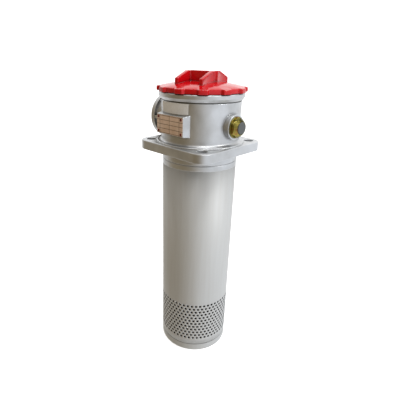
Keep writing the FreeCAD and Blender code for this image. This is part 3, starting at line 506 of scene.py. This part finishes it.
class FILTER_OT_screw_cap(bpy.types.Operator):
    """Model the red screw cap with its lobes, its H grip and its threaded spigot"""
    bl_idname = "return_filter.screw_cap"
    bl_label = "Screw Cap"

    def execute(self, context):
        sizes = context.scene.return_filter_cap
        low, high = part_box("screw_cap")
        maker = bmesh.new()
        self.shell(maker, sizes, low.z)
        self.grip(maker, sizes, high.z)
        finish_piece(maker, "red_screw_cap", red_nylon(), "cap", ["screw_cap"])
        return {"FINISHED"}

    def shell(self, maker, sizes, foot):
        """The lobed rim, the domed top and the hollow spigot, spun as rings."""
        root, spigot, bore = sizes.root, 46.2 * MM, 42.6 * MM
        under, top, face = foot + 14 * MM, foot + 19.9 * MM, foot + 25.6 * MM
        groove, groove_low, groove_high = 44.1 * MM, foot + 9.1 * MM, foot + 12.3 * MM
        land, ceiling = 47.1 * MM, foot + 19.1 * MM
        # Radius, height, and how much of the lobes' step is added to the radius
        outline = [
            # Dome, from its middle
            (0.0, face, 0), (14 * MM, face - 0.05 * MM, 0), (24 * MM, face - 0.5 * MM, 0),
            (34 * MM, face - 1.6 * MM, 0), (44 * MM, face - 3.4 * MM, 0),
            (52.6 * MM, top + 0.45 * MM, 0.0),
            # Rim and its underside
            (root - 1.1 * MM, top + 0.1 * MM, 0.7), (root - 0.3 * MM, top - 0.3 * MM, 0.95),
            (root, top - 1.0 * MM, 1), (root, under + 0.8 * MM, 1),
            (root - 0.3 * MM, under + 0.2 * MM, 1), (root - 0.9 * MM, under, 0.9),
            (50 * MM, under, 0), (land, under, 0),
            # Seal groove, and the spigot down to its foot
            (land, groove_high, 0), (groove, groove_high, 0), (groove, groove_low, 0),
            (spigot, groove_low, 0), (spigot, foot + 0.8 * MM, 0), (45.4 * MM, foot, 0),
            # Hollow
            (43.2 * MM, foot, 0), (bore, foot + 0.6 * MM, 0), (bore, foot + 18 * MM, 0),
            (41.5 * MM, ceiling, 0), (0.0, ceiling, 0)]
        spun(maker, [(radius, height) for radius, height, _ in outline], 480, closed=False)
        for vert in maker.verts:
            radius = math.hypot(vert.co.x, vert.co.y)
            nearest = min(outline, key=lambda spot: (abs(spot[0] - radius)
                                                     + abs(spot[1] - vert.co.z)))
            if nearest[2]:
                grown = 1 + nearest[2] * self.lobe(vert.co, sizes) / radius
                vert.co.x *= grown
                vert.co.y *= grown

    def lobe(self, spot, sizes):
        """How far the rim stands out at a spot round the cap, in metres."""
        pitch = TURN / sizes.lobe_count
        angle = math.atan2(spot.y, spot.x) - math.pi / 2 - sizes.turn
        off = abs((angle + pitch / 2) % pitch - pitch / 2)
        half, flank = sizes.lobe_width / 2, sizes.lobe_flank
        rise = min(max((half + flank / 2 - off) / flank, 0.0), 1.0)
        return sizes.lobe_step * rise

    def grip(self, maker, sizes, top):
        """Two sloped bars and the web between them, from one H outline."""
        inner, outer, web, end = 14.5 * MM, 19.5 * MM, 5.5 * MM, 34.5 * MM
        notch_deep, notch_half, foot = 3.6 * MM, 3.9 * MM, top - 16.3 * MM
        notch = [(outer - notch_deep * math.sin(math.pi * i / 6),
                  -notch_half * math.cos(math.pi * i / 6)) for i in range(7)]
        half = [(inner, web), (inner, end), (outer, end)] + [(x, -y) for x, y in notch]
        half += [(outer, -end), (inner, -end), (inner, -web)]
        outline = half + [(-x, -y) for x, y in half]
        verts = [maker.verts.new((x, y, foot)) for x, y in outline]
        base = maker.faces.new(verts)
        raised = only_verts(bmesh.ops.extrude_face_region(maker, geom=[base])["geom"])
        for vert in raised:
            vert.co.z = top
        mine = set(verts) | set(raised)
        for sign in (1, -1):
            mine = self.slope_ends(maker, mine, sign, foot, top)
        corners = [e for e in inside(maker.edges, mine)
                   if abs(e.verts[0].co.z - e.verts[1].co.z) > 3 * MM
                   and all(abs(abs(v.co.x) - inner) < SAME and abs(abs(v.co.y) - web) < SAME
                           for v in e.verts)]
        mine |= round_edges(maker, corners, 2.0 * MM, 4)
        mine = {v for v in mine if v.is_valid}
        sharp = [e for e in inside(maker.edges, mine) if len(e.link_faces) == 2
                 and e.calc_face_angle(0.0) > math.radians(25)
                 and max(v.co.z for v in e.verts) > foot + 2 * MM]
        mine |= round_edges(maker, sharp, sizes.grip_edge, 3, clamp=True)
        mine |= self.sink_panels(maker, mine, outer)
        turn_about(maker, [v for v in mine if v.is_valid], sizes.turn, "Z")

    def slope_ends(self, maker, mine, sign, foot, top):
        """Cuts the slope of both bars on one side, from their flat tops down."""
        flat_half, fall, run = 10.5 * MM, 8.3, 24.0
        geom = [v for v in maker.verts if v in mine]
        geom += inside(maker.edges, mine) + inside(maker.faces, mine)
        cut = bmesh.ops.bisect_plane(maker, geom=geom, dist=SAME / 10, clear_outer=True,
                                     plane_co=(0.0, sign * flat_half, top),
                                     plane_no=(0.0, sign * fall, run))
        mine = {v for v in mine if v.is_valid} | set(only_verts(cut["geom"]))
        open_edges = [e for e in inside(maker.edges, mine) if e.is_boundary
                      and min(v.co.z for v in e.verts) > foot + 1 * MM]
        bmesh.ops.holes_fill(maker, edges=open_edges, sides=0)
        return mine

    def sink_panels(self, maker, mine, outer):
        """Sinks a panel into each large outer face of the bars."""
        bmesh.ops.recalc_face_normals(maker, faces=inside(maker.faces, mine))
        panels = [f for f in maker.faces if f.calc_area() > 60 * MM * MM
                  and abs(f.normal.x) > 0.99
                  and abs(abs(f.calc_center_median().x) - outer) < 0.1 * MM]
        made = bmesh.ops.inset_individual(maker, faces=panels, thickness=1.4 * MM,
                                          depth=-0.9 * MM, use_even_offset=True)
        return {v for f in made["faces"] + panels for v in f.verts}


class FILTER_OT_nameplate(bpy.types.Operator):
    """Model the blank nameplate and its four domed rivets"""
    bl_idname = "return_filter.nameplate"
    bl_label = "Nameplate"

    def execute(self, context):
        self.plate()
        self.rivets()
        return {"FINISHED"}

    def plate(self):
        """A thin plate with round corners and a softened front edge."""
        low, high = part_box("nameplate")
        maker = bmesh.new()
        bmesh.ops.create_cube(maker, size=1.0)
        bmesh.ops.scale(maker, vec=high - low, verts=maker.verts)
        bmesh.ops.translate(maker, vec=(low + high) / 2, verts=maker.verts)
        through = [e for e in maker.edges if abs((e.verts[0].co - e.verts[1].co).y) > 1e-5]
        round_edges(maker, through, 1.0 * MM, 4)
        front = [e for e in maker.edges if all(abs(v.co.y - low.y) < SAME for v in e.verts)]
        round_edges(maker, front, 0.15 * MM, 2)
        finish_piece(maker, "blank_nameplate", etched_plate(), "head",
                     ["nameplate"])

    def rivets(self):
        """Domed heads with the drive pin's end in the middle."""
        low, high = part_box("nameplate_rivets")
        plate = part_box("nameplate")[0].y
        head, crown, pin = 1.6 * MM, plate - low.y, 3 * MM
        maker = bmesh.new()
        outline = [(0.0, crown * 0.82), (head * 0.26, crown * 0.84), (head * 0.34, crown),
                   (head * 0.62, crown * 0.86), (head * 0.86, crown * 0.55),
                   (head, crown * 0.12), (head, 0.0), (head * 0.5, 0.0),
                   (head * 0.5, -pin), (0.0, -pin)]
        spun(maker, outline, 24, closed=False)
        turn_about(maker, maker.verts, TURN / 4, "X")
        bmesh.ops.translate(maker, verts=maker.verts, vec=(low.x + head, plate, low.z + head))
        first = geometry(maker)
        for across, up in ((1, 0), (0, 1), (1, 1)):
            copy = only_verts(bmesh.ops.duplicate(maker, geom=first)["geom"])
            shift = (across * (high.x - low.x - 2 * head), 0, up * (high.z - low.z - 2 * head))
            bmesh.ops.translate(maker, vec=shift, verts=copy)
        # Steel rivets under a dark red lacquer
        lacquer = plain_finish("dark_red_lacquered_rivet", ("6E1616", "541010"), 900.0,
                               0.01 * MM, {"Metallic": 0.6, "Roughness": 0.35})
        finish_piece(maker, "domed_rivets", lacquer, "head", ["nameplate_rivets"])


class FILTER_OT_threads(bpy.types.Operator):
    """Wind the thread ridges of the inlet port, the head's mouth and the cap's spigot"""
    bl_idname = "return_filter.threads"
    bl_label = "Threads"

    def execute(self, context):
        cut = machined_aluminium()
        head_low, head_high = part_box("filter_head")
        cap_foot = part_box("screw_cap")[0].z
        inlet_height = 38.1 * MM
        inlet = self.ridge(root=20.0 * MM, tall=-1.0 * MM, pitch=2.0 * MM, length=15.0 * MM)
        turn_about(inlet, inlet.verts, TURN / 4, "Y")
        self.shift(inlet, (head_low.x + 0.6 * MM, 0, inlet_height))
        finish_piece(inlet, "inlet_thread", cut, "head")
        mouth = self.ridge(root=47.4 * MM, tall=-0.25 * MM, pitch=4.0 * MM, length=11.0 * MM)
        self.shift(mouth, (0, 0, head_high.z - 14.6 * MM))
        finish_piece(mouth, "head_mouth_thread", cut, "head")
        spigot = self.ridge(root=46.1 * MM, tall=0.9 * MM, pitch=4.0 * MM, length=8.4 * MM)
        self.shift(spigot, (0, 0, cap_foot + 0.4 * MM))
        finish_piece(spigot, "cap_spigot_thread", red_nylon(), "cap")
        return {"FINISHED"}

    def ridge(self, root, tall, pitch, length):
        """A ridge of V section wound along +Z from the origin; a tall below 0
        points it inwards."""
        maker = bmesh.new()
        turns = (length - pitch) / pitch
        steps = int(72 * turns)
        outline = [(root, 0.0), (root + tall, 0.3 * pitch), (root + tall, 0.45 * pitch),
                   (root, 0.75 * pitch)]
        face = maker.faces.new([maker.verts.new((radius, 0.0, height))
                                for radius, height in outline])
        bmesh.ops.spin(maker, geom=[face], cent=(0, 0, 0), axis=(0, 0, 1),
                       dvec=(0, 0, (length - pitch) / steps), angle=TURN * turns, steps=steps)
        return maker

    def shift(self, maker, way):
        """Moves a whole bmesh."""
        bmesh.ops.translate(maker, verts=maker.verts, vec=way)


class FILTER_OT_spring(bpy.types.Operator):
    """Wind the bypass valve's coil spring"""
    bl_idname = "return_filter.spring"
    bl_label = "Bypass Spring"

    def execute(self, context):
        low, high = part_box("bypass_spring")
        wire, turns, lift, steps = 1.6 * MM, 5, 7.0 * MM, 160
        rise = high.z - low.z - wire
        maker = bmesh.new()
        ring = bmesh.ops.create_circle(maker, segments=10, radius=wire / 2,
                                       cap_ends=True)["verts"]
        turn_about(maker, ring, TURN / 4, "X")
        bmesh.ops.translate(maker, verts=ring, vec=(high.x - wire / 2, 0, low.z + wire / 2))
        bmesh.ops.spin(maker, geom=list(maker.faces), cent=(0, 0, 0), axis=(0, 0, 1),
                       dvec=(0, 0, rise / steps), angle=TURN * turns, steps=steps)
        piece = finish_piece(maker, "bypass_coil", spring_wire(), "head",
                             ["bypass_spring"])
        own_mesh(piece)
        return {"FINISHED"}


class FILTER_OT_stage(bpy.types.Operator):
    """Set up the pale floor, the soft lights, the surroundings and the camera"""
    bl_idname = "return_filter.stage"
    bl_label = "Stage"

    def execute(self, context):
        look = context.scene.return_filter_stage
        self.floor(look)
        self.surroundings(context.scene)
        self.lights(look)
        self.camera(context.scene)
        return {"FINISHED"}

    def floor(self, look):
        """A wide disc of pale matt paper, which neither lights nor mirrors in
        the part."""
        maker = bmesh.new()
        bmesh.ops.create_circle(maker, segments=96, radius=12.0, cap_ends=True)
        bmesh.ops.translate(maker, verts=maker.verts, vec=(0, 0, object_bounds()[0].z - 0.02 * MM))
        mesh = bpy.data.meshes.new("pale_floor")
        maker.to_mesh(mesh)
        maker.free()
        material, tree, _ = new_material("matt_paper_floor")
        mesh.materials.append(close_material(material, tree, {
            "Base Color": (*look.floor_colour, 1.0), "Roughness": 0.9,
            "Specular IOR Level": 0.2,
            "Emission Color": linear("FFFFFF"), "Emission Strength": 0.6}))
        piece = bpy.data.objects.new("pale_floor", mesh)
        piece.visible_glossy = piece.visible_diffuse = False
        bpy.context.scene.collection.objects.link(piece)
        piece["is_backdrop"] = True

    def surroundings(self, scene):
        """A white studio, cool on the right of the camera and a warm grey on its
        left, which the camera itself sees as plain white."""
        world = bpy.data.worlds.new("soft_studio")
        world.use_nodes = True
        tree = world.node_tree
        tree.nodes.clear()
        way = add_node(tree, "ShaderNodeTexCoord").outputs["Generated"]
        height = add_node(tree, "ShaderNodeSeparateXYZ", {"Vector": way}).outputs["Z"]
        colour = mix(tree, spread(tree, height, -0.3, 0.2), "F4F5F6", "FFFFFF")
        for side, start, tint in (((0.940, 0.342, 0.0), 0.2, "F4F7FC"),
                                  ((-0.259, -0.966, 0.0), 0.1, "85765B")):
            along = add_node(tree, "ShaderNodeVectorMath", {0: way, 1: side},
                             operation="DOT_PRODUCT").outputs["Value"]
            colour = mix(tree, spread(tree, along, start, 0.8), colour, tint)
        seen = add_node(tree, "ShaderNodeLightPath").outputs["Is Camera Ray"]
        colour = mix(tree, seen, colour, "FFFFFF")
        back = add_node(tree, "ShaderNodeBackground", {"Color": colour, "Strength": 1.25})
        add_node(tree, "ShaderNodeOutputWorld", {"Surface": back.outputs[0]})
        scene.world = world
        scene.view_settings.view_transform = "Standard"

    def lights(self, look):
        """A light high on the right, and a weaker one over the top."""
        for name, place, size, power in (
                ("key_right", (1.6, 0.6, 1.2), 0.4, look.key_power),
                ("top_fill", (0.4, -0.1, 1.4), 0.35, look.key_power * 0.6)):
            lamp = bpy.data.lights.new(name, "AREA")
            lamp.shape = "SQUARE"
            lamp.size = size
            lamp.energy = power
            rig = bpy.data.objects.new(name, lamp)
            bpy.context.scene.collection.objects.link(rig)
            rig.location = place
            aim = Vector((0.0, 0.0, -0.05)) - Vector(place)
            rig.rotation_euler = aim.to_track_quat("-Z", "Y").to_euler()

    def camera(self, scene):
        """The photograph's camera."""
        lens = bpy.data.cameras.new("photo_camera")
        lens.lens = CAMERA_LENS
        lens.sensor_width = 36.0
        lens.shift_x, lens.shift_y = CAMERA_SHIFT
        lens.clip_start, lens.clip_end = 0.01, 50.0
        rig = bpy.data.objects.new("photo_camera", lens)
        scene.collection.objects.link(rig)
        turned = (Matrix.Rotation(CAMERA_YAW, 4, "Z")
                  @ Matrix.Rotation(TURN / 4 - CAMERA_PITCH, 4, "X")
                  @ Matrix.Rotation(CAMERA_ROLL, 4, "Z"))
        rig.matrix_world = Matrix.Translation(CAMERA_PLACE) @ turned
        scene.camera = rig


OPERATORS = (FILTER_OT_finishes, FILTER_OT_tube, FILTER_OT_screw_cap, FILTER_OT_nameplate,
             FILTER_OT_threads, FILTER_OT_spring, FILTER_OT_stage)


class FILTER_PT_panel(bpy.types.Panel):
    bl_idname = "FILTER_PT_panel"
    bl_label = "Return Line Filter"
    bl_space_type = "VIEW_3D"
    bl_region_type = "UI"
    bl_category = "Return Filter"

    def draw(self, context):
        for operator in OPERATORS:
            self.layout.operator(operator.bl_idname)
        for settings in (context.scene.return_filter_cap, context.scene.return_filter_tube,
                         context.scene.return_filter_stage):
            for name in settings.bl_rna.properties.keys():
                if name not in ("rna_type", "name"):
                    self.layout.prop(settings, name)


CLASSES = (ScrewCapSizes, TubeSizes, StageLook) + OPERATORS + (FILTER_PT_panel,)


def register():
    for kind in CLASSES:
        bpy.utils.register_class(kind)
    bpy.types.Scene.return_filter_cap = bpy.props.PointerProperty(type=ScrewCapSizes)
    bpy.types.Scene.return_filter_tube = bpy.props.PointerProperty(type=TubeSizes)
    bpy.types.Scene.return_filter_stage = bpy.props.PointerProperty(type=StageLook)


def unregister():
    del bpy.types.Scene.return_filter_cap
    del bpy.types.Scene.return_filter_tube
    del bpy.types.Scene.return_filter_stage
    for kind in reversed(CLASSES):
        bpy.utils.unregister_class(kind)


def main():
    register()
    bpy.ops.return_filter.finishes()
    bpy.ops.return_filter.tube()
    bpy.ops.return_filter.screw_cap()
    bpy.ops.return_filter.nameplate()
    bpy.ops.return_filter.threads()
    bpy.ops.return_filter.spring()
    bpy.ops.return_filter.stage()


if __name__ == "__main__":
    main()
